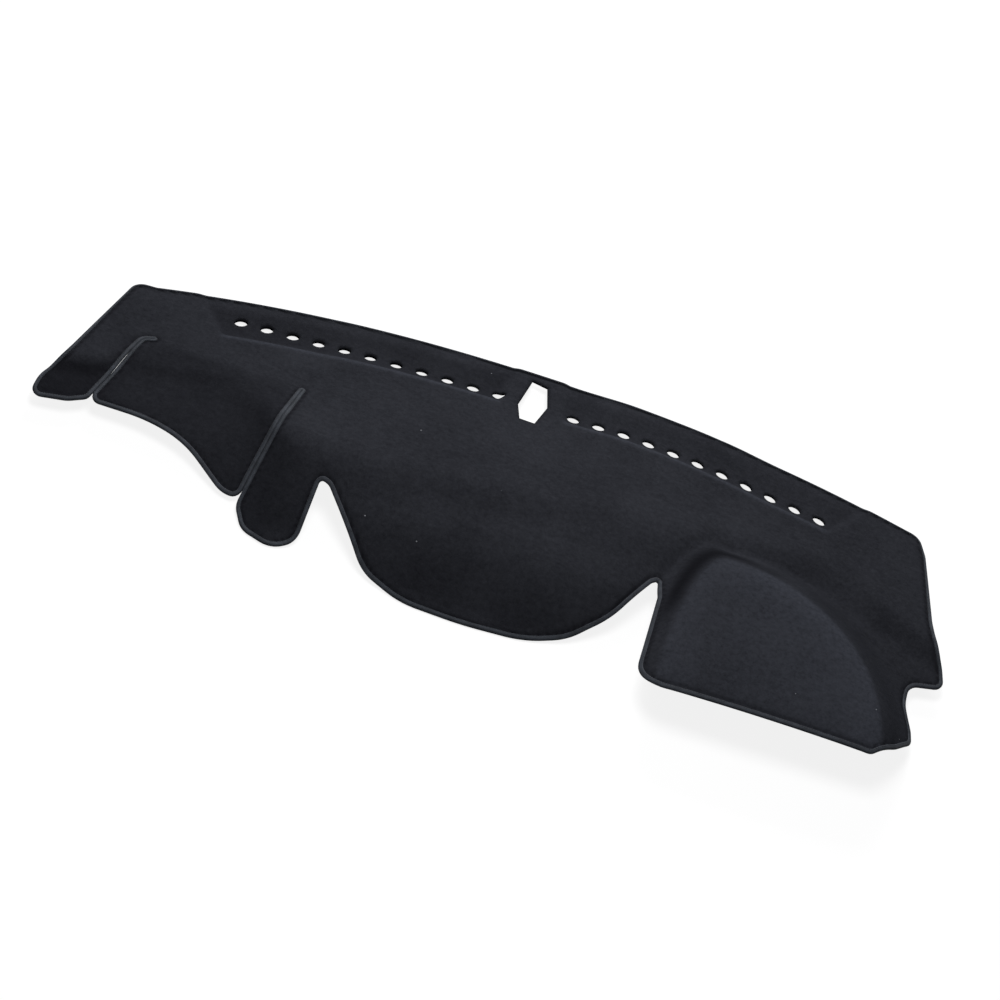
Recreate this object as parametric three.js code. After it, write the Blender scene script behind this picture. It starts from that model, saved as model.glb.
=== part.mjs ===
// A moulded felt cover mat for the dashboard of a car steered from the right, lying on a table.
// Millimetres, +Z up. The front edge points along -Y. Sizes are set out from the middle of the rear edge, and
// the finished mat is then moved so that the table's surface under its middle is the origin.
import * as THREE from 'three';

// Felt sheet and the folded tape sewn over its edge.
const feltThickness = 4;
const tapeGap = 0.5;
const tapeThickness = 0.9;
const tapeWidth = 5.2;
const rearTapeWidth = 2.4;
const stripSpare = 0.8;

// Rear edge, a flat curve that follows the windscreen.
const rearMiddleY = -2;
const rearSweep = 75;
const rearHalfWidth = 614;
const rearPower = 2.2;
const rearCornerX = 600;

// Deck, which climbs from the rear edge towards the front.
const rimHeight = 6;
const deckRiseMiddle = 0.235;
const deckRiseSide = 0.19;
const edgeHeight = 4;
const edgeBlend = 14;

// Middle bulge over the centre console.
const bulgeHeight = 92;
const bulgeStartY = -240;
const bulgeLength = 247;
const bulgeLeftWidth = 330;
const bulgeRightWidth = 296;
const bulgePower = 2.4;

// Hood over the instruments.
const hoodMiddleX = 345;
const hoodRightWidth = 272;
const hoodLeftWidth = 62;
const hoodFrontY = -569;
const hoodLength = 275;
const hoodPower = 2.1;
const hoodTopHeight = 84;
const hoodWallSlope = 0.95;
const moatDepth = 19;
const moatPlace = 15;
const moatWidth = 17;

// Channel behind the air slots, and the slots.
const channelDepth = 10;
const channelShelf = 3.5;
const channelFront = 98;
const channelBevel = 17;
const slotCount = 11;
const slotWidth = 20;
const slotLength = 16;
const slotCornerRadius = 7;

// Longest step between points, along the edge and inside the sheet.
const edgeStep = 17;
const deckStep = 38;
const formStep = 26;

// Front faces: where each would reach the table, and how steeply it falls, from left to right.
const frontFace = [
  { x: -760, y: -316, slope: 1.5 },
  { x: -640, y: -306, slope: 1.3 },
  { x: -590, y: -298, slope: 0.65 },
  { x: -504, y: -318, slope: 0.42 },
  { x: -440, y: -352, slope: 0.38 },
  { x: -387, y: -398, slope: 0.42 },
  { x: -350, y: -440, slope: 0.46 },
  { x: -311, y: -462, slope: 0.52 },
  { x: -260, y: -452, slope: 0.7 },
  { x: 0, y: -420, slope: 0.7 },
  { x: 200, y: -372, slope: 0.8 },
  { x: 300, y: -345, slope: 0.9 },
  { x: 420, y: -300, slope: 0.7 },
  { x: 522, y: -290, slope: 0.6 },
  { x: 600, y: -318, slope: 1.0 },
  { x: 673, y: -338, slope: 1.2 },
  { x: 760, y: -342, slope: 1.4 },
];

// Corners of the edge from the rear left round the front to the rear right: x, y and the radius there.
const edgeCorners = [
  [-632, -74, 42],
  [-675, -266, 90],
  [-700, -320, 60],
  [-702, -357, 13],
  [-648, -348, 40],
  [-622.2, -335, 12],
  [-584, -197, 14],
  [-566, -191.4, 1.5],
  [-565.4, -194.5, 1.5],
  [-580.8, -199.6, 10],
  [-618.6, -337, 12],
  [-530, -339, 260],
  [-466, -356, 200],
  [-390, -409, 70],
  [-364.2, -412, 12],
  [-332, -213, 1.5],
  [-328.9, -213.6, 1.5],
  [-361.8, -424, 30],
  [-343, -458, 34],
  [-296, -474, 40],
  [-263, -454, 28],
  [-258, -368, 8],
  [-241, -374, 20],
  [-158, -469, 90],
  [-90, -495, 150],
  [0, -499, 500],
  [92, -493, 200],
  [152, -471, 120],
  [203, -428, 140],
  [246, -355, 14],
  [257, -345, 4],
  [263, -382, 30],
  [259, -552, 42],
  [604, -551, 13],
  [640, -513, 80],
  [667, -472, 22],
  [664, -448, 24],
  [649, -406, 60],
  [650, -370, 18],
  [700, -359, 12],
  [693, -328, 60],
  [671, -284, 60],
  [664, -258, 120],
  [641, -118, 60],
  [628, -80, 28],
];

// Six-sided opening for the sensor, at the middle of the rear edge.
const sensorOpening = [[-8, -18], [17, -24], [26, -74], [14, -124], [-10, -123], [-19, -88]];

const smoothStep = (value, from, to) => THREE.MathUtils.smoothstep(value, from, to);

function blendLower(a, b, width) {
  const share = THREE.MathUtils.clamp(0.5 + (0.5 * (b - a)) / width, 0, 1);
  return b * (1 - share) + a * share - width * share * (1 - share);
}

function blendHigher(a, b, width) {
  return -blendLower(-a, -b, width);
}

function rearEdge(x) {
  return rearMiddleY - rearSweep * (Math.abs(x) / rearHalfWidth) ** rearPower;
}

function frontFaceAt(x) {
  let i = 1;
  while (i < frontFace.length - 1 && x > frontFace[i].x) i += 1;
  const a = frontFace[i - 1];
  const b = frontFace[i];
  const share = smoothStep(x, a.x, b.x) * 0.5 + THREE.MathUtils.clamp((x - a.x) / (b.x - a.x), 0, 1) * 0.5;
  return { y: THREE.MathUtils.lerp(a.y, b.y, share), slope: THREE.MathUtils.lerp(a.slope, b.slope, share) };
}

function deckHeight(x, y) {
  const rise = THREE.MathUtils.lerp(deckRiseMiddle, deckRiseSide, smoothStep(Math.abs(x), 420, 700));
  return rimHeight + rise * (rearEdge(x) - y);
}

function dashHeight(x, y) {
  const face = frontFaceAt(x);
  const foldWidth = 26 - 10 * smoothStep(-x, 300, 360) * smoothStep(x, -640, -560);
  return blendLower(deckHeight(x, y), face.slope * (y - face.y), foldWidth);
}

function bulgeHeightAt(x, y) {
  const along = Math.max(0, (bulgeStartY - y) / bulgeLength);
  const across = Math.min(1, Math.abs(x) / (x > 0 ? bulgeRightWidth : bulgeLeftWidth));
  const height = bulgeHeight * (1 - along ** bulgePower - 0.55 * across ** 3);
  return blendLower(deckHeight(x, y), height, 55);
}

function hoodDistance(x, y) {
  const width = x > hoodMiddleX ? hoodRightWidth : hoodLeftWidth;
  const across = Math.abs(x - hoodMiddleX) / width;
  const along = Math.max(0, y - hoodFrontY) / hoodLength;
  const size = (across ** hoodPower + along ** hoodPower + 1e-9) ** (1 / hoodPower);
  const lean = size ** (1 - hoodPower);
  const slopeX = (lean * across ** (hoodPower - 1)) / width;
  const slopeY = (lean * along ** (hoodPower - 1)) / hoodLength;
  return (size - 1) / Math.hypot(slopeX, slopeY);
}

function hoodHeight(x, y) {
  const lip = 10 * Math.exp(-Math.max(0, y - hoodFrontY - 10) / 26);
  const crown = 6 * (1 - ((x - 440) / 190) ** 2);
  const softness = 30 - 25 * smoothStep(-y, 310, 480);
  const bend = THREE.MathUtils.clamp(hoodDistance(x, y) / softness, -30, 30);
  return hoodTopHeight + crown - lip - hoodWallSlope * softness * Math.log1p(Math.exp(bend));
}

// The valley between the deck and the left and rear sides of the hood.
function moatDrop(x, y) {
  const across = (hoodDistance(x, y) - moatPlace) / moatWidth;
  return moatDepth * Math.exp(-across * across) * (1 - smoothStep(x, 360, 500));
}

function channelDrop(x, y) {
  const inFront = rearEdge(x) - y;
  const side = Math.abs(x - 4);
  const inner = smoothStep(side, 34 + 0.1 * inFront, 48 + 0.1 * inFront);
  const outer = 1 - smoothStep(side + 0.6 * inFront, 528, 546);
  const front = 1 - smoothStep(inFront, channelFront - channelBevel, channelFront);
  const depth = THREE.MathUtils.lerp(channelShelf, channelDepth, smoothStep(inFront, 8, 60));
  return depth * inner * outer * front;
}

function sheetHeight(x, y) {
  const body = blendHigher(dashHeight(x, y), bulgeHeightAt(x, y), 26) - moatDrop(x, y);
  const hoodBlend = 10 + 18 * smoothStep(x, 480, 600);
  const withHood = blendHigher(body, hoodHeight(x, y), hoodBlend) - channelDrop(x, y);
  return blendHigher(withHood, edgeHeight, edgeBlend);
}

function sheetPoint(x, y) {
  return new THREE.Vector3(x, y, sheetHeight(x, y));
}

function sheetNormal(x, y) {
  const step = 3;
  const alongX = sheetHeight(x + step, y) - sheetHeight(x - step, y);
  const alongY = sheetHeight(x, y + step) - sheetHeight(x, y - step);
  return new THREE.Vector3(-alongX, -alongY, 2 * step).normalize();
}

// Replaces each corner by an arc of its own radius.
function roundCorners(corners, coarsest = 0.5) {
  const count = corners.length;
  const points = [];
  corners.forEach(([x, y, radius], i) => {
    const here = new THREE.Vector2(x, y);
    const before = new THREE.Vector2(...corners[(i + count - 1) % count]);
    const after = new THREE.Vector2(...corners[(i + 1) % count]);
    const back = before.clone().sub(here);
    const ahead = after.clone().sub(here);
    const room = 0.49 * Math.min(back.length(), ahead.length());
    back.normalize();
    ahead.normalize();
    const half = 0.5 * Math.acos(THREE.MathUtils.clamp(back.dot(ahead), -1, 1));
    const reach = Math.min(room, radius / Math.tan(half));
    const turn = Math.PI - 2 * half;
    if (radius === 0 || turn < 0.02) {
      points.push(here);
      return;
    }
    const start = here.clone().addScaledVector(back, reach);
    const end = here.clone().addScaledVector(ahead, reach);
    const middle = here.clone().addScaledVector(back.clone().add(ahead).normalize(), reach / Math.cos(half));
    const arcRadius = reach * Math.tan(half);
    const steps = Math.max(1, Math.ceil(turn / Math.min(coarsest, Math.max(0.16, 13 / arcRadius))));
    const from = Math.atan2(start.y - middle.y, start.x - middle.x);
    let sweep = Math.atan2(end.y - middle.y, end.x - middle.x) - from;
    if (sweep > Math.PI) sweep -= 2 * Math.PI;
    if (sweep < -Math.PI) sweep += 2 * Math.PI;
    for (let k = 0; k <= steps; k += 1) {
      const angle = from + (sweep * k) / steps;
      points.push(new THREE.Vector2(middle.x + arcRadius * Math.cos(angle), middle.y + arcRadius * Math.sin(angle)));
    }
  });
  return points;
}

// Adds points on long straights so that no step is longer than asked.
function splitLongSteps(points, step) {
  const result = [];
  points.forEach((point, i) => {
    const next = points[(i + 1) % points.length];
    const length = point.distanceTo(next);
    if (length < 0.6) return;
    const parts = Math.max(1, Math.ceil(length / step));
    for (let k = 0; k < parts; k += 1) result.push(point.clone().lerp(next, k / parts));
  });
  return result;
}

function edgeLine() {
  const corners = [...edgeCorners];
  for (let x = rearCornerX; x >= -rearCornerX; x -= 50) corners.push([x, rearEdge(x), 0]);
  return splitLongSteps(roundCorners(corners), edgeStep);
}

// The tape is narrower along the rear edge, where the form turns it away.
function tapeWidthAt(y) {
  return THREE.MathUtils.lerp(rearTapeWidth, tapeWidth, smoothStep(-y, 100, 270));
}

// A line inside the edge, a little further in than the tape reaches.
function stripLine(points) {
  return points.map((point, i) => {
    const distance = tapeWidthAt(point.y) + stripSpare;
    const before = points[(i + points.length - 1) % points.length];
    const after = points[(i + 1) % points.length];
    const a = point.clone().sub(before).normalize();
    const b = after.clone().sub(point).normalize();
    const along = a.clone().add(b).normalize();
    const stretch = 1 / Math.max(0.6, along.dot(b));
    return new THREE.Vector2(point.x - along.y * distance * stretch, point.y + along.x * distance * stretch);
  });
}

function slotLines() {
  const lines = [];
  const halfWidth = slotWidth / 2;
  const halfLength = slotLength / 2;
  for (const side of [-1, 1]) {
    for (let k = 0; k < slotCount; k += 1) {
      const x = side < 0 ? -51 - 40.9 * k : 69 + 40.3 * k;
      const y = side < 0 ? -73 - 14 * (x / 460) ** 2 : -72 - 34 * (x / 432) ** 2;
      const lean = (rearEdge(x + 1) - rearEdge(x - 1)) / 2;
      const corners = [[-1, -1], [1, -1], [1, 1], [-1, 1]].map(([across, along]) => {
        const dx = across * halfWidth;
        return [x + dx, y + along * halfLength + lean * dx, slotCornerRadius];
      });
      lines.push(splitLongSteps(roundCorners(corners, 0.8), slotWidth).reverse());
    }
  }
  return lines;
}

function sensorLine() {
  return splitLongSteps(sensorOpening.map(([x, y]) => new THREE.Vector2(x, y)), 22);
}

function isInside(x, y, line) {
  let inside = false;
  for (let i = 0, j = line.length - 1; i < line.length; j = i, i += 1) {
    const a = line[i];
    const b = line[j];
    if (a.y > y !== b.y > y && x < ((b.x - a.x) * (y - a.y)) / (b.y - a.y) + a.x) inside = !inside;
  }
  return inside;
}

function isClear(point, others, gap) {
  return others.every((other) => Math.abs(other.x - point.x) > gap || other.distanceTo(point) > gap);
}

// Points inside the sheet, closer together where the form bends.
function innerPoints(rim, openings) {
  const found = [];
  const edges = [rim, ...openings].flat();
  const sides = formStep * 0.866;
  for (let row = 0, y = -5; y > -560; y -= sides, row += 1) {
    for (let x = -700 + (row % 2) * formStep * 0.5; x < 700; x += formStep) {
      const point = new THREE.Vector2(x, y);
      if (!isInside(x, y, rim) || openings.some((line) => isInside(x, y, line))) continue;
      const tilt = sheetNormal(x - 12, y).angleTo(sheetNormal(x + 12, y));
      const nod = sheetNormal(x, y - 12).angleTo(sheetNormal(x, y + 12));
      const gap = tilt + nod > 0.14 ? formStep * 0.9 : deckStep;
      if (isClear(point, edges, formStep * 0.5) && isClear(point, found, gap)) found.push(point);
    }
  }
  return found;
}

function circleAround(a, b, c) {
  const d = 2 * (a.x * (b.y - c.y) + b.x * (c.y - a.y) + c.x * (a.y - b.y));
  const aa = a.x * a.x + a.y * a.y;
  const bb = b.x * b.x + b.y * b.y;
  const cc = c.x * c.x + c.y * c.y;
  const x = (aa * (b.y - c.y) + bb * (c.y - a.y) + cc * (a.y - b.y)) / d;
  const y = (aa * (c.x - b.x) + bb * (a.x - c.x) + cc * (b.x - a.x)) / d;
  return { x, y, reach: (a.x - x) ** 2 + (a.y - y) ** 2 };
}

// Joins scattered points by triangles whose circles hold no other point.
function triangulate(points) {
  const far = [new THREE.Vector2(-9000, -7000), new THREE.Vector2(9100, -7100), new THREE.Vector2(30, 9000)];
  const all = [...points, ...far];
  const last = points.length;
  let faces = [{ corners: [last, last + 1, last + 2], circle: circleAround(...far) }];
  points.forEach((point, i) => {
    const border = new Map();
    faces = faces.filter(({ corners, circle }) => {
      if ((point.x - circle.x) ** 2 + (point.y - circle.y) ** 2 >= circle.reach) return true;
      corners.forEach((a, k) => {
        const b = corners[(k + 1) % 3];
        const twin = `${b},${a}`;
        if (border.has(twin)) border.delete(twin);
        else border.set(`${a},${b}`, [a, b]);
      });
      return false;
    });
    for (const [a, b] of border.values()) {
      faces.push({ corners: [a, b, i], circle: circleAround(all[a], all[b], all[i]) });
    }
  });
  return faces.map((face) => face.corners).filter((corners) => corners.every((corner) => corner < last));
}

function meshFrom(name, positions, faces, colour) {
  const geometry = new THREE.BufferGeometry();
  geometry.setAttribute('position', new THREE.Float32BufferAttribute(positions.flatMap((p) => [p.x, p.y, p.z]), 3));
  geometry.setIndex(faces.flat());
  geometry.computeVertexNormals();
  const material = new THREE.MeshStandardMaterial({ color: colour, roughness: 1 });
  const mesh = new THREE.Mesh(geometry, material);
  mesh.name = name;
  return mesh;
}

// The felt: an upper and a lower face with walls round the edge and round each opening.
function feltSheet(edge, strip) {
  const openings = [...slotLines(), sensorLine()];
  const plan = [...edge, ...strip, ...openings.flat(), ...innerPoints(strip, openings)];
  const edgeCount = edge.length;
  const inner = plan.slice(edgeCount);
  const upper = [];
  for (const corners of triangulate(inner)) {
    const [a, b, c] = corners.map((corner) => inner[corner]);
    const x = (a.x + b.x + c.x) / 3;
    const y = (a.y + b.y + c.y) / 3;
    const onSheet = isInside(x, y, strip) && !openings.some((line) => isInside(x, y, line));
    const turned = (b.x - a.x) * (c.y - a.y) - (b.y - a.y) * (c.x - a.x) > 0;
    const [p, q, r] = corners.map((corner) => corner + edgeCount);
    if (onSheet) upper.push(turned ? [p, q, r] : [p, r, q]);
  }
  for (let i = 0; i < edgeCount; i += 1) {
    const next = (i + 1) % edgeCount;
    upper.push([i, next, i + edgeCount]);
    upper.push([next, next + edgeCount, i + edgeCount]);
  }
  const half = feltThickness / 2;
  const top = plan.map(({ x, y }) => sheetPoint(x, y).addScaledVector(sheetNormal(x, y), half));
  const bottom = plan.map(({ x, y }) => sheetPoint(x, y).addScaledVector(sheetNormal(x, y), -half));
  const below = plan.length;
  const faces = [...upper, ...upper.map(([a, b, c]) => [a + below, c + below, b + below])];
  addWall(faces, 0, edgeCount, below);
  let first = 2 * edgeCount;
  for (const line of openings) {
    addWall(faces, first, line.length, below);
    first += line.length;
  }
  return meshFrom('felt_sheet', [...top, ...bottom], faces, 0x26282d);
}

// A wall from the upper to the lower face. The felt lies to the left of the line that it follows.
function addWall(faces, first, count, below) {
  for (let i = 0; i < count; i += 1) {
    const a = first + i;
    const b = first + ((i + 1) % count);
    faces.push([a, a + below, b + below], [a, b + below, b]);
  }
}

// The folded tape: a thin three-sided strip that wraps the felt's edge all the way round.
function edgeTape(edge, strip) {
  const inner = feltThickness / 2 + tapeGap;
  const outer = inner + tapeThickness;
  const side = tapeGap + tapeThickness;
  const positions = [];
  const faces = [];
  edge.forEach((point, i) => {
    const from = sheetPoint(point.x, point.y);
    const to = sheetPoint(strip[i].x, strip[i].y);
    const fromNormal = sheetNormal(point.x, point.y);
    const toNormal = sheetNormal(strip[i].x, strip[i].y);
    const width = tapeWidthAt(point.y);
    const section = [
      [-width, inner], [-width, outer], [side, outer], [side, -outer],
      [-width, -outer], [-width, -inner], [tapeGap, -inner], [tapeGap, inner],
    ];
    for (const [along, up] of section) {
      const share = -along / (width + stripSpare);
      const normal = fromNormal.clone().lerp(toNormal, share);
      positions.push(from.clone().lerp(to, share).addScaledVector(normal, up));
    }
  });
  const size = positions.length / edge.length;
  edge.forEach((_, i) => {
    const next = (i + 1) % edge.length;
    for (let k = 0; k < size; k += 1) {
      const over = (k + 1) % size;
      const [a, b, c, d] = [i * size + k, next * size + k, next * size + over, i * size + over];
      const inward = k === size - 1 || k === 3;
      if (inward) faces.push([a, d, b], [b, d, c]);
      else faces.push([a, d, c], [a, c, b]);
    }
  });
  return meshFrom('edge_tape', positions, faces, 0x4a5160);
}

const edge = edgeLine();
const strip = stripLine(edge);
const group = new THREE.Group();
group.name = 'dashboard_cover_mat';
group.add(feltSheet(edge, strip), edgeTape(edge, strip));

const extent = new THREE.Box3().setFromObject(group);
const middle = extent.getCenter(new THREE.Vector3());
group.position.set(-middle.x, -middle.y, -extent.min.z);
group.updateMatrixWorld(true);
export default group;
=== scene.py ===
import math

import bpy
import numpy as np
from mathutils import Matrix, Vector
from mathutils.geometry import delaunay_2d_cdt


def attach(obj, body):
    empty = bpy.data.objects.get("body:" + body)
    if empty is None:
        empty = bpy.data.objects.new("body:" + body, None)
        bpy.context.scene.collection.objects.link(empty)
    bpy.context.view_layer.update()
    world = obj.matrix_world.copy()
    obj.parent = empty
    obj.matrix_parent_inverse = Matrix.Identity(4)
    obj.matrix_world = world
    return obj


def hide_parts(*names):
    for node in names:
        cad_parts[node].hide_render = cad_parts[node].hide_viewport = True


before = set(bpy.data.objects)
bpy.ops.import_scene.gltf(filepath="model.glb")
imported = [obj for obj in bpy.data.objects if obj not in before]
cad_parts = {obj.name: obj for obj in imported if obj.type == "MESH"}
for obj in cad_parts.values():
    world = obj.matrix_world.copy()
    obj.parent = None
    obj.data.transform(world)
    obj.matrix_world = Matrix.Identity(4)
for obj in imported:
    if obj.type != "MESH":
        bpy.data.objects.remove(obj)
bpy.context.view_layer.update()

# Where the middle of the rear edge, from which the sizes are set out, lies in the frame, in millimetres.
setOutPoint = np.array([1.84, 277.13, -0.43])

# Sizes of the mat, in millimetres.
mat = {
    "thickness": 4.0,
    "rearMiddleY": -2.0,
    "rearSweep": 75.0,
    "rearHalfWidth": 614.0,
    "rearPower": 2.2,
    "rearCornerX": 600.0,
    "rimHeight": 6.0,
    "deckRiseMiddle": 0.235,
    "deckRiseSide": 0.19,
    "edgeHeight": 4.0,
    "edgeBlend": 14.0,
    "foldWidth": 26.0,
    "foldNarrower": 10.0,
    "foldWiderByHood": 30.0,
    "bulgeHeight": 92.0,
    "bulgeStartY": -240.0,
    "bulgeLength": 247.0,
    "bulgeLeftWidth": 330.0,
    "bulgeRightWidth": 296.0,
    "bulgePower": 2.7,
    "bulgeSideFall": 0.55,
    "bulgeFoot": 55.0,
    "bulgeBlend": 26.0,
    "bulgeWiderByHood": 24.0,
    "hoodMiddleX": 345.0,
    "hoodRightWidth": 272.0,
    "hoodLeftWidth": 62.0,
    "hoodFrontY": -569.0,
    "hoodLength": 275.0,
    "hoodPower": 2.1,
    "hoodTopHeight": 84.0,
    "hoodLip": 10.0,
    "hoodLipFlat": 10.0,
    "hoodLipLength": 26.0,
    "hoodCrown": 6.0,
    "hoodCrownX": 440.0,
    "hoodCrownWidth": 190.0,
    "hoodBlend": 10.0,
    "hoodBlendRight": 18.0,
    "hoodWallSlope": 0.95,
    "moatDepth": 19.0,
    "moatPlace": 15.0,
    "moatWidth": 17.0,
    "channelMiddleX": 4.0,
    "channelDepth": 10.0,
    "channelShelf": 3.5,
    "channelFront": 98.0,
    "channelBevel": 18.0,
    "hoodSoftness": 15.0,
    "slotCount": 11,
    "slotWidth": 20.0,
    "slotLength": 16.0,
    "gridStep": 5.0,
    "edgeStep": 4.0,
}

# Front faces, from left to right: where each would reach the table, and how steeply it falls.
frontFaces = np.array([
    (-760, -316, 1.5), (-640, -306, 1.3), (-590, -298, 0.65), (-504, -318, 0.42), (-440, -352, 0.38),
    (-387, -398, 0.42), (-350, -440, 0.46), (-311, -462, 0.52), (-260, -452, 0.7), (0, -420, 0.7),
    (200, -372, 0.8), (300, -345, 0.9), (420, -300, 0.7), (522, -290, 0.6), (600, -318, 1.0),
    (673, -338, 1.2), (760, -342, 1.4),
], float)

# Corners of the edge from the rear left round the front to the rear right: x, y and the radius there.
edgeCorners = [
    (-632, -74, 42), (-675, -266, 90), (-700, -320, 60), (-702, -357, 13), (-648, -348, 40),
    (-622.2, -335, 12), (-584, -197, 14), (-566, -191.4, 1.5), (-565.4, -194.5, 1.5), (-580.8, -199.6, 10),
    (-618.6, -337, 12), (-530, -339, 260), (-466, -356, 200), (-390, -409, 70), (-364.2, -412, 12),
    (-332, -213, 1.5), (-328.9, -213.6, 1.5), (-361.8, -424, 30), (-343, -458, 34), (-296, -474, 40),
    (-263, -454, 28), (-258, -368, 8), (-241, -374, 20), (-158, -469, 90), (-90, -495, 150),
    (0, -499, 500), (92, -493, 200), (152, -471, 120), (203, -428, 140), (246, -355, 14),
    (257, -345, 4), (263, -382, 30), (259, -552, 42), (604, -551, 13), (640, -513, 80),
    (667, -472, 22), (664, -448, 24), (649, -406, 60), (650, -370, 18), (700, -359, 12),
    (693, -328, 60), (671, -284, 60), (664, -258, 120), (641, -118, 60), (628, -80, 28),
]

sensorOpening = [(-8, -18), (17, -24), (26, -74), (14, -124), (-10, -123), (-19, -88)]


def smoothStep(value, start, end):
    share = np.clip((value - start) / (end - start), 0, 1)
    return share * share * (3 - 2 * share)


def blendLower(a, b, width):
    share = np.clip(0.5 + 0.5 * (b - a) / width, 0, 1)
    return b * (1 - share) + a * share - width * share * (1 - share)


def blendHigher(a, b, width):
    return -blendLower(-a, -b, width)


def rearEdge(x):
    return mat["rearMiddleY"] - mat["rearSweep"] * (np.abs(x) / mat["rearHalfWidth"]) ** mat["rearPower"]


def frontFaceAt(x):
    stations = frontFaces[:, 0]
    i = np.clip(np.searchsorted(stations, x, side="left"), 1, len(stations) - 1)
    low, high = frontFaces[i - 1], frontFaces[i]
    linear = np.clip((x - low[..., 0]) / (high[..., 0] - low[..., 0]), 0, 1)
    share = (linear * linear * (3 - 2 * linear) + linear) / 2
    return [low[..., k] + (high[..., k] - low[..., k]) * share for k in (1, 2)]


def deckHeight(x, y):
    side = smoothStep(np.abs(x), 420, 700)
    rise = mat["deckRiseMiddle"] + (mat["deckRiseSide"] - mat["deckRiseMiddle"]) * side
    return mat["rimHeight"] + rise * (rearEdge(x) - y)


def bulgeHeightAt(x, y):
    along = np.maximum(0, (mat["bulgeStartY"] - y) / mat["bulgeLength"])
    across = np.minimum(1, np.abs(x) / np.where(x > 0, mat["bulgeRightWidth"], mat["bulgeLeftWidth"]))
    height = mat["bulgeHeight"] * (1 - along ** mat["bulgePower"] - mat["bulgeSideFall"] * across ** 3)
    return blendLower(deckHeight(x, y), height, mat["bulgeFoot"])


def hoodDistance(x, y):
    width = np.where(x > mat["hoodMiddleX"], mat["hoodRightWidth"], mat["hoodLeftWidth"])
    power = mat["hoodPower"]
    across = np.abs(x - mat["hoodMiddleX"]) / width
    along = np.maximum(0, y - mat["hoodFrontY"]) / mat["hoodLength"]
    size = (across ** power + along ** power + 1e-9) ** (1 / power)
    lean = size ** (1 - power)
    slopeX = lean * across ** (power - 1) / width
    slopeY = lean * along ** (power - 1) / mat["hoodLength"]
    return (size - 1) / np.hypot(slopeX, slopeY)


def hoodHeight(x, y):
    behindLip = np.maximum(0, y - mat["hoodFrontY"] - mat["hoodLipFlat"])
    lip = mat["hoodLip"] * np.exp(-behindLip / mat["hoodLipLength"])
    crown = mat["hoodCrown"] * (1 - ((x - mat["hoodCrownX"]) / mat["hoodCrownWidth"]) ** 2)
    softness = mat["hoodSoftness"] - 8 * smoothStep(-y, 310, 480)
    bend = np.clip(hoodDistance(x, y) / softness, -30, 30)
    return mat["hoodTopHeight"] + crown - lip - mat["hoodWallSlope"] * softness * np.log1p(np.exp(bend))


def moatDrop(x, y):
    across = (hoodDistance(x, y) - mat["moatPlace"]) / mat["moatWidth"]
    return mat["moatDepth"] * np.exp(-across * across) * (1 - smoothStep(x, 360, 500))


def channelDrop(x, y):
    inFront = rearEdge(x) - y
    side = np.abs(x - mat["channelMiddleX"])
    inner = smoothStep(side, 34 + 0.1 * inFront, 48 + 0.1 * inFront)
    outer = 1 - smoothStep(side + 0.6 * inFront, 528, 546)
    front = 1 - smoothStep(inFront, mat["channelFront"] - mat["channelBevel"], mat["channelFront"])
    depth = mat["channelShelf"] + (mat["channelDepth"] - mat["channelShelf"]) * smoothStep(inFront, 8, 60)
    return depth * inner * outer * front


# A soft ridge along a straight line, fading out at both ends.
def ridge(x, y, start, end, width):
    along = np.array(end, float) - np.array(start, float)
    length = np.hypot(*along)
    dx, dy = x - start[0], y - start[1]
    share = (dx * along[0] + dy * along[1]) / length ** 2
    across = (dx * along[1] - dy * along[0]) / length
    ends = smoothStep(share, -0.02, 0.12) * (1 - smoothStep(share, 0.8, 1.05))
    return np.exp(-(across / width) ** 2) * ends


# The flap's fold and its wrinkle: both ends of each, its width and its height.
flapRidges = [
    ((-567, -198), (-345, -214), 9, 0.9),
    ((-578, -250), (-430, -226), 11, 1.7),
]


def flapFolds(x, y):
    return sum(height * ridge(x, y, start, end, width) for start, end, width, height in flapRidges)


# A width that is added only between the middle bulge and the hood.
def besideHood(x, width):
    return width * smoothStep(x, 60, 160) * (1 - smoothStep(x, 300, 400))


def sheetHeight(x, y):
    faceY, faceSlope = frontFaceAt(x)
    foldWidth = mat["foldWidth"] - mat["foldNarrower"] * smoothStep(-x, 300, 360) * smoothStep(x, -640, -560)
    foldWidth = foldWidth + besideHood(x, mat["foldWiderByHood"])
    dash = blendLower(deckHeight(x, y), faceSlope * (y - faceY), foldWidth)
    bulgeBlend = mat["bulgeBlend"] + besideHood(x, mat["bulgeWiderByHood"])
    body = blendHigher(dash, bulgeHeightAt(x, y), bulgeBlend) - moatDrop(x, y)
    hoodBlend = mat["hoodBlend"] + mat["hoodBlendRight"] * smoothStep(x, 480, 600)
    withHood = blendHigher(body, hoodHeight(x, y), hoodBlend) - channelDrop(x, y) + flapFolds(x, y)
    return blendHigher(withHood, mat["edgeHeight"], mat["edgeBlend"])


def sheetNormal(x, y):
    step = 3.0
    alongX = sheetHeight(x + step, y) - sheetHeight(x - step, y)
    alongY = sheetHeight(x, y + step) - sheetHeight(x, y - step)
    normal = np.stack([-alongX, -alongY, np.full_like(alongX, 2 * step)], -1)
    return normal / np.linalg.norm(normal, axis=-1, keepdims=True)


def sheetPoint(x, y):
    return np.stack([x, y, sheetHeight(x, y)], -1)


def toFrame(points):
    return (np.asarray(points) + setOutPoint) * 0.001


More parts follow.
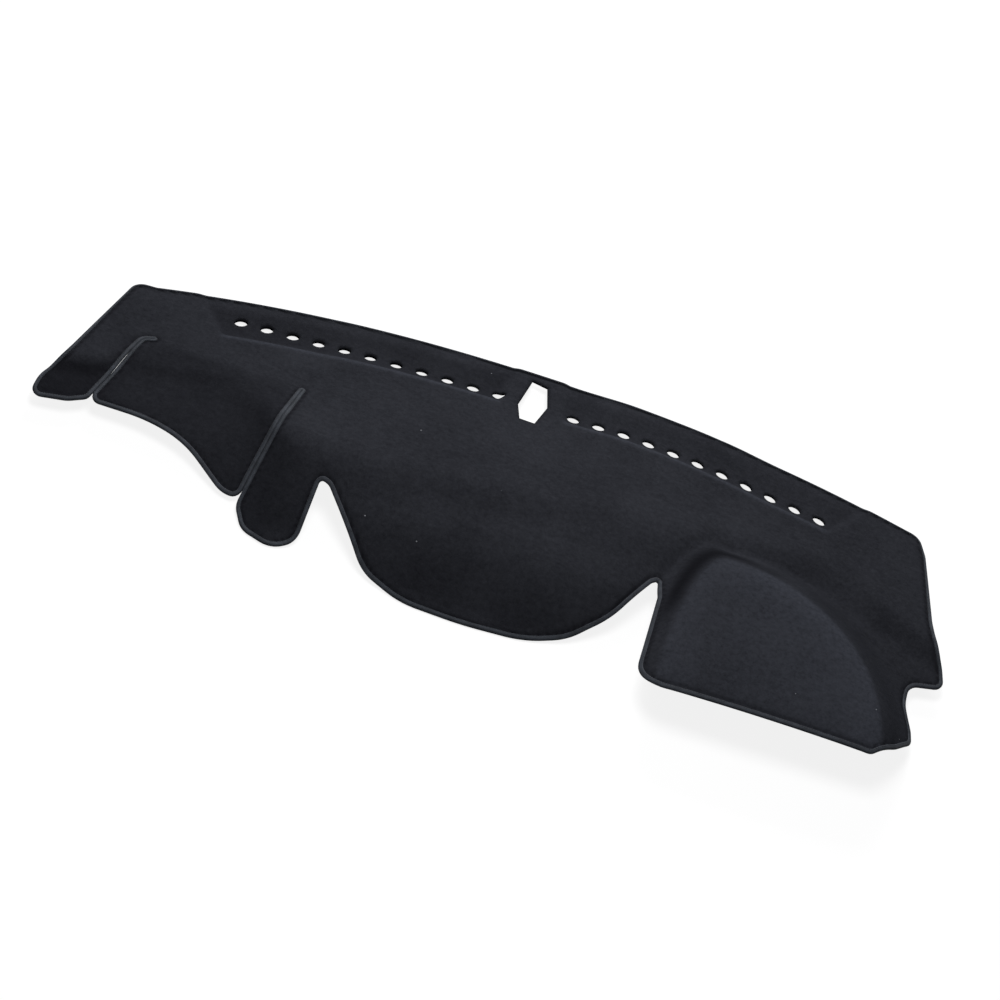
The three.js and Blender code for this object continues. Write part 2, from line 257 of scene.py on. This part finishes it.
# Replaces each corner of a closed line by an arc of its own radius.
def roundCorners(corners):
    points = []
    count = len(corners)
    for i, (x, y, radius) in enumerate(corners):
        here = np.array([x, y], float)
        back = np.array(corners[i - 1][:2], float) - here
        ahead = np.array(corners[(i + 1) % count][:2], float) - here
        room = 0.49 * min(np.hypot(*back), np.hypot(*ahead))
        back /= np.hypot(*back)
        ahead /= np.hypot(*ahead)
        half = 0.5 * math.acos(float(np.clip(back @ ahead, -1, 1)))
        turn = math.pi - 2 * half
        if radius == 0 or turn < 0.02:
            points.append(here)
            continue
        reach = min(room, radius / math.tan(half))
        arcRadius = reach * math.tan(half)
        toMiddle = (back + ahead) / np.hypot(*(back + ahead))
        middle = here + toMiddle * reach / math.cos(half)
        start, end = here + back * reach - middle, here + ahead * reach - middle
        first = math.atan2(start[1], start[0])
        sweep = (math.atan2(end[1], end[0]) - first + math.pi) % (2 * math.pi) - math.pi
        steps = max(2, math.ceil(abs(sweep) / min(0.35, mat["edgeStep"] / arcRadius)))
        for k in range(steps + 1):
            angle = first + sweep * k / steps
            points.append(middle + arcRadius * np.array([math.cos(angle), math.sin(angle)]))
    return points


def splitLongSteps(points, step):
    result = []
    for i, point in enumerate(points):
        following = points[(i + 1) % len(points)]
        length = float(np.hypot(*(following - point)))
        if length < 0.25:
            continue
        parts = max(1, math.ceil(length / step))
        result += [point + (following - point) * k / parts for k in range(parts)]
    return np.array(result)


def edgeLine():
    corners = list(edgeCorners)
    reach = mat["rearCornerX"]
    corners += [(x, float(rearEdge(x)), 0) for x in np.arange(reach, -reach - 1, -10)]
    return splitLongSteps(roundCorners(corners), mat["edgeStep"])


def offsetLine(points, distance):
    before = points - np.roll(points, 1, 0)
    after = np.roll(points, -1, 0) - points
    before /= np.linalg.norm(before, axis=1, keepdims=True)
    after /= np.linalg.norm(after, axis=1, keepdims=True)
    along = before + after
    along /= np.linalg.norm(along, axis=1, keepdims=True)
    stretch = 1 / np.maximum(0.6, (along * after).sum(1, keepdims=True))
    return points + np.stack([-along[:, 1], along[:, 0]], -1) * distance * stretch


# The left and the right row of air slots: the first slot, the step to the next one, and how far the
# row has bent to the front at the named distance from the middle.
slotRows = [
    {"first": -51, "step": -40.9, "rowY": -73, "bend": 14, "bendAt": 460},
    {"first": 69, "step": 40.3, "rowY": -72, "bend": 34, "bendAt": 432},
]


def slotPlaces():
    places = []
    for k in range(mat["slotCount"]):
        for row in slotRows:
            x = row["first"] + row["step"] * k
            places.append((x, row["rowY"] - row["bend"] * (x / row["bendAt"]) ** 2))
    return places


def slotLine(x, y):
    lean = float(rearEdge(x + 1) - rearEdge(x - 1)) / 2
    angles = np.linspace(0, -2 * math.pi, 28, endpoint=False)
    across = mat["slotWidth"] / 2 * np.cos(angles)
    return np.stack([x + across, y + mat["slotLength"] / 2 * np.sin(angles) + lean * across], -1)


# Shortest distance from each point to a closed line.
def distanceTo(points, line):
    nearest = np.full(len(points), 1e9)
    for start, end in zip(line, np.roll(line, -1, 0)):
        along = end - start
        share = np.clip(((points - start) @ along) / (along @ along), 0, 1)
        gap = points - start - share[:, None] * along
        np.minimum(nearest, (gap * gap).sum(1), out=nearest)
    return np.sqrt(nearest)


def isInside(points, line):
    inside = np.zeros(len(points), bool)
    for (ax, ay), (bx, by) in zip(line, np.roll(line, -1, 0)):
        crosses = (ay > points[:, 1]) != (by > points[:, 1])
        with np.errstate(divide="ignore", invalid="ignore"):
            at = (bx - ax) * (points[:, 1] - ay) / (by - ay) + ax
        inside ^= crosses & (points[:, 0] < at)
    return inside


def meshObject(name, positions, faces, smooth=True):
    mesh = bpy.data.meshes.new(name)
    mesh.from_pydata([tuple(p) for p in positions], [], [tuple(int(i) for i in f) for f in faces])
    mesh.validate()
    mesh.update()
    piece = bpy.data.objects.new(name, mesh)
    bpy.context.collection.objects.link(piece)
    if smooth:
        for polygon in mesh.polygons:
            polygon.use_smooth = True
    return piece


def addValue(piece, name, values):
    layer = piece.data.attributes.new(name, "FLOAT", "POINT")
    layer.data.foreach_set("value", np.asarray(values, np.float32))


# Short helper for building a material's nodes.
class Nodes:

    def __init__(self, name):
        self.material = bpy.data.materials.new(name)
        self.material.use_nodes = True
        self.tree = self.material.node_tree
        self.shader = self.tree.nodes["Principled BSDF"]
        self.output = self.tree.nodes["Material Output"]

    def add(self, kind, **settings):
        node = self.tree.nodes.new(kind)
        for key, value in settings.items():
            setattr(node, key, value)
        return node

    def link(self, source, target):
        self.tree.links.new(source, target)

    def value(self, source, target):
        if isinstance(source, (int, float)):
            target.default_value = source
        else:
            self.link(source, target)

    def math(self, operation, a, b=0.0, clamp=False):
        node = self.add("ShaderNodeMath", operation=operation, use_clamp=clamp)
        self.value(a, node.inputs[0])
        self.value(b, node.inputs[1])
        return node.outputs[0]

    def noise(self, scale, detail=4.0, stretch=(1, 1, 1), roughness=0.55, turn=0.0):
        place = self.add("ShaderNodeTexCoord")
        mapping = self.add("ShaderNodeMapping")
        mapping.inputs["Scale"].default_value = stretch
        mapping.inputs["Rotation"].default_value = (0, 0, turn)
        texture = self.add("ShaderNodeTexNoise")
        texture.inputs["Scale"].default_value = scale
        texture.inputs["Detail"].default_value = detail
        texture.inputs["Roughness"].default_value = roughness
        self.link(place.outputs["Object"], mapping.inputs["Vector"])
        self.link(mapping.outputs["Vector"], texture.inputs["Vector"])
        return texture.outputs["Fac"]

    def specks(self, scale, rarity, size):
        place = self.add("ShaderNodeTexCoord")
        cells = self.add("ShaderNodeTexVoronoi")
        cells.inputs["Scale"].default_value = scale
        self.link(place.outputs["Object"], cells.inputs["Vector"])
        lot = self.add("ShaderNodeSeparateColor")
        self.link(cells.outputs["Color"], lot.inputs[0])
        chosen = self.math("GREATER_THAN", lot.outputs[0], rarity)
        return self.math("MULTIPLY", chosen, self.math("LESS_THAN", cells.outputs["Distance"], size))

    def attribute(self, name):
        return self.add("ShaderNodeAttribute", attribute_name=name).outputs["Fac"]

    def spread(self, source, low, high, toLow=0.0, toHigh=1.0):
        node = self.add("ShaderNodeMapRange")
        self.link(source, node.inputs["Value"])
        for key, number in (("From Min", low), ("From Max", high), ("To Min", toLow), ("To Max", toHigh)):
            node.inputs[key].default_value = number
        return node.outputs["Result"]

    def mix(self, share, a, b):
        node = self.add("ShaderNodeMix", data_type="RGBA")
        self.value(share, node.inputs["Factor"])
        for source, key in ((a, 6), (b, 7)):
            if isinstance(source, tuple):
                node.inputs[key].default_value = (*source, 1.0)
            else:
                self.link(source, node.inputs[key])
        return node.outputs[2]

    def bump(self, height, strength, distance, under=None):
        node = self.add("ShaderNodeBump")
        node.inputs["Strength"].default_value = strength
        node.inputs["Distance"].default_value = distance
        self.link(height, node.inputs["Height"])
        if under is not None:
            self.link(under, node.inputs["Normal"])
        return node.outputs["Normal"]


feltLook = {
    "dark": (0.0165, 0.0172, 0.0215),
    "light": (0.040, 0.042, 0.051),
    # painted highlight colour, for the hood's top and the channel's bevel
    "highlightPaint": (0.059, 0.064, 0.081),
    # painted shade colour, for the seam groove, slot rims, valley, flap, hood wall and channel
    "shadePaint": (0.006, 0.006, 0.008),
    "lint": (0.30, 0.31, 0.34),
    "sheen": 0.035,
    "sheenTint": (0.62, 0.68, 0.85, 1.0),
    "fibreBump": 0.55,
    "lintCells": 85.0,
    "lintRarity": 0.992,
    "lintSize": 0.10,
}


def feltMaterial():
    look = feltLook
    nodes = Nodes("needled_felt")
    cloud = nodes.noise(9.0, 5.0)
    mottle = nodes.noise(150.0, 4.0, roughness=0.7)
    streak = nodes.noise(60.0, 5.0, stretch=(1.0, 1.7, 1.0), turn=0.35)
    fibre = nodes.noise(900.0, 3.0, roughness=0.7)
    strands = nodes.noise(420.0, 4.0, stretch=(1.0, 0.5, 1.0), turn=0.9)
    tone = nodes.math("ADD", nodes.math("MULTIPLY", cloud, 0.30), nodes.math("MULTIPLY", mottle, 0.36))
    tone = nodes.math("ADD", tone, nodes.math("MULTIPLY", streak, 0.16))
    tone = nodes.math("ADD", tone, nodes.math("MULTIPLY", fibre, 0.18))
    colour = nodes.mix(nodes.spread(tone, 0.36, 0.64), look["dark"], look["light"])
    # Painted highlight: the hood's top and the channel's bevel made lighter, patchy with the mottle.
    uneven = nodes.spread(mottle, 0.3, 0.7, 0.35, 1.0)
    highlightPaint = nodes.math("MULTIPLY", nodes.attribute("paintedHighlight"), uneven, clamp=True)
    colour = nodes.mix(highlightPaint, colour, look["highlightPaint"])
    # Painted shade: darker colour where shade falls, read from a per-point attribute.
    paintedShade = nodes.attribute("paintedShade")
    colour = nodes.mix(paintedShade, colour, look["shadePaint"])
    lint = nodes.specks(look["lintCells"], look["lintRarity"], look["lintSize"])
    colour = nodes.mix(lint, colour, look["lint"])
    nodes.link(colour, nodes.shader.inputs["Base Color"])
    nodes.shader.inputs["Roughness"].default_value = 1.0
    nodes.shader.inputs["Specular IOR Level"].default_value = 0.04
    nodes.shader.inputs["Sheen Weight"].default_value = look["sheen"]
    nodes.shader.inputs["Sheen Roughness"].default_value = 0.6
    nodes.shader.inputs["Sheen Tint"].default_value = look["sheenTint"]
    coarse = nodes.bump(nodes.math("ADD", mottle, streak), 0.35, 0.0022)
    pile = nodes.math("ADD", fibre, nodes.math("MULTIPLY", strands, 1.2))
    nodes.link(nodes.bump(pile, look["fibreBump"], 0.0011, coarse), nodes.shader.inputs["Normal"])
    return nodes.material


# Pressed and rounded forms of the felt, in millimetres.
feltForm = {
    "seamFromTape": 1.9,
    "seamWidth": 1.9,
    "seamDepth": 1.1,
    "seamDepthBelow": 0.5,
    "rimDrop": 1.0,
    "rimReach": 1.6,
    "rimTurn": 0.8,
    "rimTurnLeft": 2.4,
    "rimTurnReach": 2.0,
}

# How strongly each place is darker with painted shade or lighter with painted highlight, from 0 to 1. Places
# and widths are in millimetres.
feltTones = {
    "seam": 0.75,
    "seamWidth": 2.4,
    "rim": 0.5,
    "rimWidth": 2.2,
    "insideRim": 0.95,
    "insideRimWidth": 3.0,
    "valley": 0.97,
    "valleyPlace": 14.0,
    "valleyWidth": 12.0,
    "flap": 0.34,
    "leftTabMore": 0.3,
    "wall": 0.42,
    "wallPlace": 30.0,
    "wallWidth": 24.0,
    "channel": 0.3,
    "channelLessRight": 0.6,
    "hoodTop": 0.3,
    "hoodRidge": 0.7,
    "hoodRidgeWidth": 60.0,
    "bevel": 0.9,
    "bevelPlace": 95.0,
    "bevelWidth": 5.5,
}

farAway = 99.0  # a distance at which nothing is dented, rounded or given painted shade


def isClose(points, line, margin):
    return np.abs(points - line.mean(0)).max(1) < np.abs(line - line.mean(0)).max() + margin


# Points of the plan between the edge and the openings, in rows of even triangles, and how far each
# lies from the edge.
def planGrid(edge, openings):
    low, high = edge.min(0), edge.max(0)
    step = mat["gridStep"]
    rows = np.arange(low[1], high[1], step * 0.866)
    stations = np.arange(low[0], high[0], step)
    grid = np.array([(x + (k % 2) * step / 2, y) for k, y in enumerate(rows) for x in stations])
    grid = grid[isInside(grid, edge)]
    edgeGap = distanceTo(grid, edge)
    kept = edgeGap > step * 0.55
    grid, edgeGap = grid[kept], edgeGap[kept]
    for line in openings:
        close = isClose(grid, line, 3 * step)
        bad = np.zeros(len(grid), bool)
        bad[close] = isInside(grid[close], line) | (distanceTo(grid[close], line) < step * 0.45)
        grid, edgeGap = grid[~bad], edgeGap[~bad]
    return grid, edgeGap


# Triangles of the plan, all turned upward, with none outside the edge or in an opening.
def planFaces(plan, loops, edge):
    segments = [(loop[k], loop[(k + 1) % len(loop)]) for loop in loops for k in range(len(loop))]
    made = delaunay_2d_cdt([Vector(p) for p in plan.tolist()], segments, [], 0, 1e-6)
    assert len(made[0]) == len(plan)
    faces = np.array(made[2])
    owner = np.full(len(plan), -1)
    for k, loop in enumerate(loops):
        owner[loop] = k
    corners = owner[faces]
    inOpening = (corners == corners[:, :1]).all(1) & (corners[:, 0] > 0)
    faces = faces[~inOpening & isInside(plan[faces].mean(1), edge)]
    a, b, c = plan[faces[:, 0]], plan[faces[:, 1]], plan[faces[:, 2]]
    turn = (b[:, 0] - a[:, 0]) * (c[:, 1] - a[:, 1]) - (b[:, 1] - a[:, 1]) * (c[:, 0] - a[:, 0])
    faces[turn < 0] = faces[turn < 0][:, ::-1]
    return faces[np.abs(turn) > 1e-4]


def gapToOpenings(plan, loops, openings):
    openGap = np.full(len(plan), farAway)
    for loop, line in zip(loops[1:], openings):
        close = np.where(isClose(plan, line, 14))[0]
        openGap[close] = np.minimum(openGap[close], distanceTo(plan[close], line))
        openGap[loop] = 0
    return openGap


# Painted shade, darkening the felt's colour where shade falls: in the seam's groove, round the slot rims,
# in the valley beside the hood, on the flap and the left tab, on the hood's right wall and in the channel.
def paintedShadeTone(x, y, seamGap, openGap):
    tones = feltTones
    hoodGap = hoodDistance(x, y)
    inFront = rearEdge(x) - y
    side = np.abs(x - mat["channelMiddleX"])
    faceY, faceSlope = frontFaceAt(x)
    seam = tones["seam"] * np.exp(-(seamGap / tones["seamWidth"]) ** 2)
    paintedShade = np.clip(seam + tones["rim"] * np.exp(-openGap / tones["rimWidth"]), 0, 1)
    valley = tones["valley"] * np.exp(-((hoodGap - tones["valleyPlace"]) / tones["valleyWidth"]) ** 2)
    valley = valley * (1 - smoothStep(x, 330, 470)) * smoothStep(y, -470, -370)
    onFace = smoothStep(deckHeight(x, y) - faceSlope * (y - faceY), -4, 16) * (1 - smoothStep(x, -340, -250))
    belowFold = smoothStep(-211 - 0.08 * (x + 340) - y, -12, 22)
    belowFold = belowFold * smoothStep(x, -625, -585) * (1 - smoothStep(x, -360, -335))
    flap = (tones["flap"] + tones["leftTabMore"] * smoothStep(-x, 570, 640)) * np.maximum(onFace, belowFold)
    wall = tones["wall"] * np.exp(-((hoodGap - tones["wallPlace"]) / tones["wallWidth"]) ** 2)
    wall = wall * smoothStep(x, 400, 520)
    channel = tones["channel"] * smoothStep(inFront, 14, 30) * (1 - smoothStep(inFront, 80, 92))
    channel = channel * smoothStep(side, 45, 58) * (1 - smoothStep(side + 0.6 * inFront, 520, 546))
    channel = channel * (1 - tones["channelLessRight"] * smoothStep(x, -100, 200))
    for shade in (valley, flap, wall, channel):
        paintedShade = np.maximum(paintedShade, shade)
    return paintedShade


# Painted highlight, lightening the felt's colour where light falls: the hood's top, most of all along its
# ridge, and the bevel of the channel.
def paintedHighlightTone(x, y):
    tones = feltTones
    hoodGap = hoodDistance(x, y)
    inFront = rearEdge(x) - y
    side = np.abs(x - mat["channelMiddleX"])
    nearRidge = np.exp(-np.maximum(0, -hoodGap) / tones["hoodRidgeWidth"])
    top = smoothStep(-hoodGap, -5, 5) * (tones["hoodTop"] + tones["hoodRidge"] * nearRidge)
    top = top * (0.55 + 0.45 * smoothStep(x, 290, 430))
    bevel = np.exp(-((inFront - tones["bevelPlace"]) / tones["bevelWidth"]) ** 2)
    bevel = bevel * smoothStep(side, 45, 58) * (1 - smoothStep(side, 470, 490))
    return np.maximum(top, tones["bevel"] * bevel)


# The moulded sheet: an upper and a lower face over one dense plan, with walls round every edge.
def buildFelt(edge):
    form, tones = feltForm, feltTones
    sensor = splitLongSteps([np.array(p, float) for p in sensorOpening], mat["edgeStep"])
    openings = [*(slotLine(x, y) for x, y in slotPlaces()), sensor]
    grid, edgeGap = planGrid(edge, openings)
    plan = np.vstack([edge, *openings, grid])
    loops = []
    first = 0
    for line in (edge, *openings):
        loops.append(list(range(first, first + len(line))))
        first += len(line)
    faces = planFaces(plan, loops, edge)
    x, y = plan[:, 0], plan[:, 1]
    middle, normal = sheetPoint(x, y), sheetNormal(x, y)
    gap = np.concatenate([np.zeros(len(edge)), np.full(first - len(edge), farAway), edgeGap])
    openGap = gapToOpenings(plan, loops, openings)
    seamGap = gap - (tapeInset(y) + form["seamFromTape"])
    seam = np.exp(-(seamGap / form["seamWidth"]) ** 2)
    rounded = np.exp(-openGap / form["rimReach"])
    turn = form["rimTurn"] + form["rimTurnLeft"] * smoothStep(-x, 40, 220)
    turnedDown = np.exp(-openGap / form["rimTurnReach"]) * turn
    half = mat["thickness"] / 2
    upper = half - form["seamDepth"] * seam - form["rimDrop"] * rounded
    lower = half - form["seamDepthBelow"] * seam + turnedDown
    top = middle + normal * upper[:, None]
    bottom = middle - normal * lower[:, None]
    count = len(plan)
    allFaces = [tuple(f) for f in faces] + [tuple(int(i) + count for i in f[::-1]) for f in faces]
    for loop in loops:
        for a, b in zip(loop, loop[1:] + loop[:1]):
            allFaces.append((a, a + count, b + count, b))
    piece = meshObject("felt_mat", toFrame(np.vstack([top, bottom])), allFaces)
    # Painted shade and painted highlight for each point of the plan, kept as attributes for the felt's
    # colour.
    paintedShade, paintedHighlight = paintedShadeTone(x, y, seamGap, openGap), paintedHighlightTone(x, y)
    # Painted shade on the lower face too, darkest round the openings, so the slots' inner walls look shaded.
    insideRim = np.maximum(paintedShade, tones["insideRim"] * np.exp(-openGap / tones["insideRimWidth"]))
    addValue(piece, "paintedShade", np.concatenate([paintedShade, insideRim]))
    addValue(piece, "paintedHighlight", np.concatenate([paintedHighlight, paintedHighlight]))
    piece.data.materials.append(feltMaterial())
    a, b, c = (middle[faces[:, k]] for k in range(3))
    area = 0.5 * np.linalg.norm(np.cross(b - a, c - a), axis=1).sum() * 1e-6
    return piece, float(area)


tape = {
    "inset": 4.6,
    "rearInset": 2.4,
    "rearEnds": 100.0,
    "sidesStart": 270.0,
    "clearance": 0.25,
    "thickness": 0.9,
    "puff": 0.45,
    "outsideBend": 2.2,
    "insideBend": 0.55,
    "crownShare": 0.62,
    "ribPitch": 1.1,
    "colour": (0.062, 0.071, 0.090),
    "dark": (0.024, 0.028, 0.036),
}

stitchLine = {
    "length": 3.0,
    "gap": 0.7,
    "radius": 0.32,
    "place": 0.76,
    "lift": 0.55,
    "dip": 0.75,
    "light": (0.05, 0.055, 0.07),
    "dark": (0.018, 0.020, 0.026),
}


# How far the tape reaches in from the edge, narrow at the rear and wider at the sides and the front.
def tapeInset(y):
    wider = smoothStep(-y, tape["rearEnds"], tape["sidesStart"])
    return tape["rearInset"] + (tape["inset"] - tape["rearInset"]) * wider


# Carries a closed section round the mat's edge. Each of its points is an inset from the edge and a
# height over the middle of the felt.
def sweep(name, edge, section):
    span = 9.0
    inner = offsetLine(edge, span)
    start, end = sheetPoint(*edge.T), sheetPoint(*inner.T)
    startNormal, endNormal = sheetNormal(*edge.T), sheetNormal(*inner.T)
    rings = []
    reach = (tapeInset(edge[:, 1]) / tape["inset"])[:, None]
    for inset, up in section:
        share = (inset * reach if inset > 1 else inset) / span
        rings.append(start * (1 - share) + end * share + (startNormal * (1 - share) + endNormal * share) * up)
    points = np.stack(rings, 1)
    count, size = points.shape[:2]
    faces = []
    for i in range(count):
        j = (i + 1) % count
        for k in range(size):
            m = (k + 1) % size
            faces.append((i * size + k, i * size + m, j * size + m, j * size + k))
    lengths = np.linalg.norm(np.roll(edge, -1, 0) - edge, axis=1)
    along = np.concatenate([[0], np.cumsum(lengths)[:-1]])
    return meshObject(name, toFrame(points.reshape(-1, 3)), faces), np.repeat(along, size)


# A folded strip with a soft outer bend, as points from the upper inner hem to the lower one and back.
def tapeSection():
    t = tape
    half = mat["thickness"] / 2
    inner = half + t["clearance"]
    outer = inner + t["thickness"]
    bend = [(math.cos(a), math.sin(a)) for a in np.linspace(math.pi / 2, -math.pi / 2, 9)]
    outside = [(0.4 - t["outsideBend"] * c, outer * s) for c, s in bend]
    inside = [(0.3 - t["insideBend"] * c, inner * s) for c, s in reversed(bend)]
    crown = t["inset"] * t["crownShare"]
    upper = [(t["inset"] - 0.1, inner - 0.75), (t["inset"], inner + 0.1), (crown, outer + t["puff"])]
    lower = [(crown, -outer - 0.1), (t["inset"], -inner - 0.5), (t["inset"] - 0.1, -inner)]
    return upper + outside + lower + inside


def tapeMaterial():
    look = tape
    nodes = Nodes("binding_tape")
    along = nodes.attribute("along")
    ribs = nodes.math("SINE", nodes.math("MULTIPLY", along, 2 * math.pi / look["ribPitch"]))
    cloud = nodes.noise(60.0, 5.0)
    grain = nodes.noise(1100.0, 3.0)
    shade = nodes.math("ADD", nodes.math("MULTIPLY", cloud, 0.6), nodes.math("MULTIPLY", grain, 0.4))
    colour = nodes.mix(nodes.spread(shade, 0.35, 0.65), look["dark"], look["colour"])
    nodes.link(colour, nodes.shader.inputs["Base Color"])
    nodes.shader.inputs["Roughness"].default_value = 0.72
    nodes.shader.inputs["Specular IOR Level"].default_value = 0.35
    nodes.shader.inputs["Sheen Weight"].default_value = 0.06
    nodes.shader.inputs["Sheen Roughness"].default_value = 0.5
    weave = nodes.bump(ribs, 0.25, 0.0003)
    nodes.link(nodes.bump(grain, 0.35, 0.0006, weave), nodes.shader.inputs["Normal"])
    return nodes.material


def buildTape(edge):
    piece, along = sweep("binding_tape", edge, tapeSection())
    addValue(piece, "along", along)
    piece.data.materials.append(tapeMaterial())
    return piece


def threadMaterial():
    nodes = Nodes("sewing_thread")
    grain = nodes.noise(700.0, 3.0)
    colour = nodes.mix(nodes.spread(grain, 0.3, 0.7), stitchLine["dark"], stitchLine["light"])
    nodes.link(colour, nodes.shader.inputs["Base Color"])
    nodes.shader.inputs["Roughness"].default_value = 0.6
    nodes.link(nodes.bump(grain, 0.4, 0.0003), nodes.shader.inputs["Normal"])
    return nodes.material


# A row of lockstitches through the tape's hem, each a short bent capsule.
def buildStitches(edge):
    inner = offsetLine(edge, 1.0) - edge
    line = edge + inner * (tapeInset(edge[:, 1]) * stitchLine["place"])[:, None]
    lengths = np.linalg.norm(np.roll(line, -1, 0) - line, axis=1)
    total = lengths.sum()
    marks = np.concatenate([[0], np.cumsum(lengths)])
    pitch = stitchLine["length"] + stitchLine["gap"]
    number = int(total // pitch)
    closed = np.vstack([line, line[:1]])
    positions, faces = [], []
    samples, sides = 5, 5
    dip = stitchLine["dip"] * np.abs(np.linspace(-1, 1, samples)) ** 3
    rise = mat["thickness"] / 2 + tape["thickness"] + stitchLine["lift"] - dip
    for k in range(number):
        at = k * total / number + np.linspace(0, stitchLine["length"], samples)
        x, y = np.interp(at, marks, closed[:, 0]), np.interp(at, marks, closed[:, 1])
        centre, normal = sheetPoint(x, y), sheetNormal(x, y)
        centre = centre + normal * rise[:, None]
        forward = centre[-1] - centre[0]
        forward /= np.linalg.norm(forward)
        radius = stitchLine["radius"] * np.array([0.45, 0.95, 1.0, 0.95, 0.45])
        base = len(positions)
        for i in range(samples):
            side = np.cross(forward, normal[i])
            for corner in range(sides):
                angle = 2 * math.pi * corner / sides
                outward = side * math.cos(angle) + normal[i] * math.sin(angle)
                positions.append(centre[i] + radius[i] * outward)
        for i in range(samples - 1):
            for corner in range(sides):
                a, b = base + i * sides + corner, base + i * sides + (corner + 1) % sides
                faces.append((a, a + sides, b + sides, b))
        faces.append([base + c for c in range(sides)])
        faces.append([base + (samples - 1) * sides + c for c in reversed(range(sides))])
    piece = meshObject("edge_stitches", toFrame(positions), faces)
    piece.data.materials.append(threadMaterial())
    return piece


studio = {
    "elevation": 50.0,
    "roll": 17.9,
    "distance": 4.0,
    "focalPixels": 2708.0,
    "aim": (0.0, -282.5, 35.0),
    "floorColour": (0.3, 0.3, 0.302),
    "floorGlow": 0.86,
    "floorSize": 14.0,
    "floorDrop": 0.0006,
    "fillStrength": 0.07,
    "worldStrength": 1.0,
    "lamps": (
        ("key", (-0.12, -0.05, 2.4), 0.9, 26.0),
        ("back", (-0.1, 2.5, 1.55), 1.2, 42.0),
    ),
}


def buildFloor():
    size = studio["floorSize"]
    corners = [(-size, -size, 0), (size, -size, 0), (size, size, 0), (-size, size, 0)]
    floor = meshObject("studio_floor", corners, [(0, 1, 2, 3)], smooth=False)
    nodes = Nodes("studio_floor")
    nodes.shader.inputs["Base Color"].default_value = (*studio["floorColour"], 1)
    nodes.shader.inputs["Roughness"].default_value = 0.9
    nodes.shader.inputs["Specular IOR Level"].default_value = 0.0
    glow = nodes.add("ShaderNodeEmission")
    both = nodes.add("ShaderNodeAddShader")
    seen = nodes.add("ShaderNodeLightPath")
    strength = nodes.math("MULTIPLY", seen.outputs["Is Camera Ray"], studio["floorGlow"])
    nodes.link(strength, glow.inputs["Strength"])
    nodes.link(nodes.shader.outputs[0], both.inputs[0])
    nodes.link(glow.outputs[0], both.inputs[1])
    nodes.link(both.outputs[0], nodes.output.inputs["Surface"])
    floor.data.materials.append(nodes.material)
    floor.location.z = -studio["floorDrop"]


def buildLamps():
    for name, place, width, power in studio["lamps"]:
        lamp = bpy.data.lights.new(name, "AREA")
        lamp.size = width
        lamp.energy = power
        holder = bpy.data.objects.new(name, lamp)
        holder.location = place
        holder.visible_camera = False
        holder.rotation_euler = (Vector((0, 0, 0)) - Vector(place)).to_track_quat("-Z", "Y").to_euler()
        bpy.context.collection.objects.link(holder)


# A weak light from all round, with a white ground behind the mat.
def buildWorld():
    world = bpy.context.scene.world or bpy.data.worlds.new("studio")
    bpy.context.scene.world = world
    world.use_nodes = True
    tree = world.node_tree
    tree.nodes.clear()
    output = tree.nodes.new("ShaderNodeOutputWorld")
    plain = tree.nodes.new("ShaderNodeBackground")
    plain.inputs["Strength"].default_value = studio["fillStrength"]
    white = tree.nodes.new("ShaderNodeBackground")
    white.inputs["Strength"].default_value = studio["worldStrength"]
    ray = tree.nodes.new("ShaderNodeLightPath")
    blend = tree.nodes.new("ShaderNodeMixShader")
    tree.links.new(ray.outputs["Is Camera Ray"], blend.inputs["Fac"])
    tree.links.new(plain.outputs[0], blend.inputs[1])
    tree.links.new(white.outputs[0], blend.inputs[2])
    tree.links.new(blend.outputs[0], output.inputs[0])


def buildCamera():
    data = bpy.data.cameras.new("photo_camera")
    camera = bpy.data.objects.new("photo_camera", data)
    bpy.context.collection.objects.link(camera)
    data.sensor_width = 36.0
    data.lens = studio["focalPixels"] * 36.0 / 1000.0
    data.clip_end = 60.0
    elevation, roll = math.radians(studio["elevation"]), math.radians(studio["roll"])
    back = Vector((0, -math.cos(elevation), math.sin(elevation)))
    right, up = Vector((1, 0, 0)), Vector((0, math.sin(elevation), math.cos(elevation)))
    tiltedRight = math.cos(roll) * right + math.sin(roll) * up
    tiltedUp = -math.sin(roll) * right + math.cos(roll) * up
    place = Vector(toFrame(studio["aim"])) + back * studio["distance"]
    turn = Matrix((tiltedRight, tiltedUp, back)).transposed()
    camera.matrix_world = Matrix.Translation(place) @ turn.to_4x4()
    bpy.context.scene.camera = camera
    bpy.context.scene.view_settings.view_transform = "Standard"


edge = edgeLine()
print("edge line:", len(edge), "points")
felt, feltArea = buildFelt(edge)
print("felt sheet:", len(felt.data.polygons), "faces, area", round(feltArea, 4), "square metres")
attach(felt, "root")
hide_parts("felt_sheet")

binding = buildTape(edge)
print("binding tape:", len(binding.data.polygons), "faces")
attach(binding, "root")
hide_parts("edge_tape")

stitches = buildStitches(edge)
print("stitches:", len(stitches.data.polygons), "faces")
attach(stitches, "root")

buildFloor()
buildLamps()
buildWorld()
buildCamera()
print("studio: floor,", len(studio["lamps"]), "lamps, world and camera")
